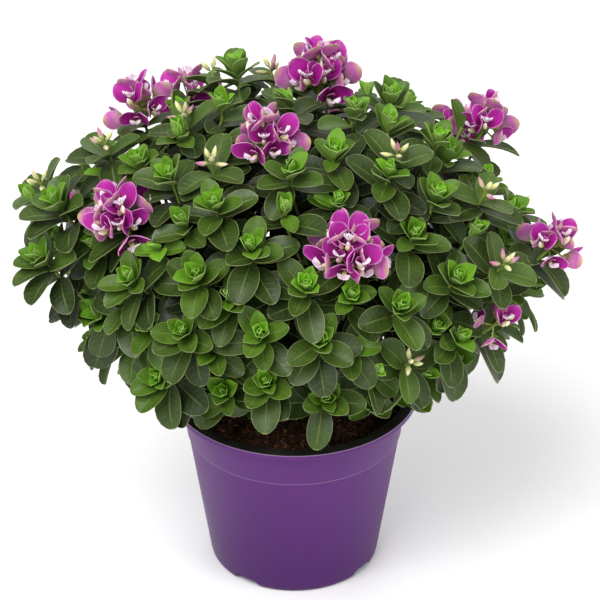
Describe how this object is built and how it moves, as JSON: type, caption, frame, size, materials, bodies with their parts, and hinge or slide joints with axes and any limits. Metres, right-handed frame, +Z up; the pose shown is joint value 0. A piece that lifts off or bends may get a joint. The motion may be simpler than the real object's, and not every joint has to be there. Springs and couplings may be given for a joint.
{
  "type": "potted milkwort",
  "caption": "Domed flowering shrub of small blunt leaves with magenta pea-like flower heads, in a round tapered plastic nursery pot.",
  "frame": {"origin": "middle of the pot's underside, on the surface that it stands on", "axes": "+Z up out of the pot, -Y to the side that the picture shows, +X to the right seen from that side"},
  "size_m": [0.3738, 0.2919, 0.3706],
  "materials": {
    "pot_plastic": "satin",
    "compost": "rough",
    "petals": "matte",
    "buds": "matte",
    "leaves": "satin"
  },
  "bodies": {
    "root": {"pot": "pot_plastic", "compost": "compost", "flowers_top": "petals", "flowers_upper": "petals", "flowers_front": "petals", "flowers_left": "petals", "flowers_upper_left": "petals", "flowers_right_top": "petals", "flowers_right": "petals", "flowers_lower_right": "petals", "flowers_back_left": "petals", "flowers_back": "petals", "flowers_back_right": "petals", "flowers_back_low": "petals", "buds_crest": "buds", "buds_pale_left": "buds", "buds_upper_right": "buds", "buds_far_left": "buds", "buds_side_left": "buds", "buds_middle_left": "buds", "buds_side_right": "buds", "buds_hanging_right": "buds", "buds_low_right": "buds", "buds_behind_right": "buds", "buds_behind_top": "buds", "leafy_stem_01": "leaves", "leafy_stem_02": "leaves", "leafy_stem_03": "leaves", "leafy_stem_04": "leaves", "leafy_stem_05": "leaves", "leafy_stem_06": "leaves", "leafy_stem_07": "leaves", "leafy_stem_08": "leaves", "leafy_stem_09": "leaves", "leafy_stem_10": "leaves", "leafy_stem_11": "leaves", "leafy_stem_12": "leaves", "leafy_stem_13": "leaves", "leafy_stem_14": "leaves", "leafy_stem_15": "leaves", "leafy_stem_16": "leaves"}
  },
  "joints": []
}
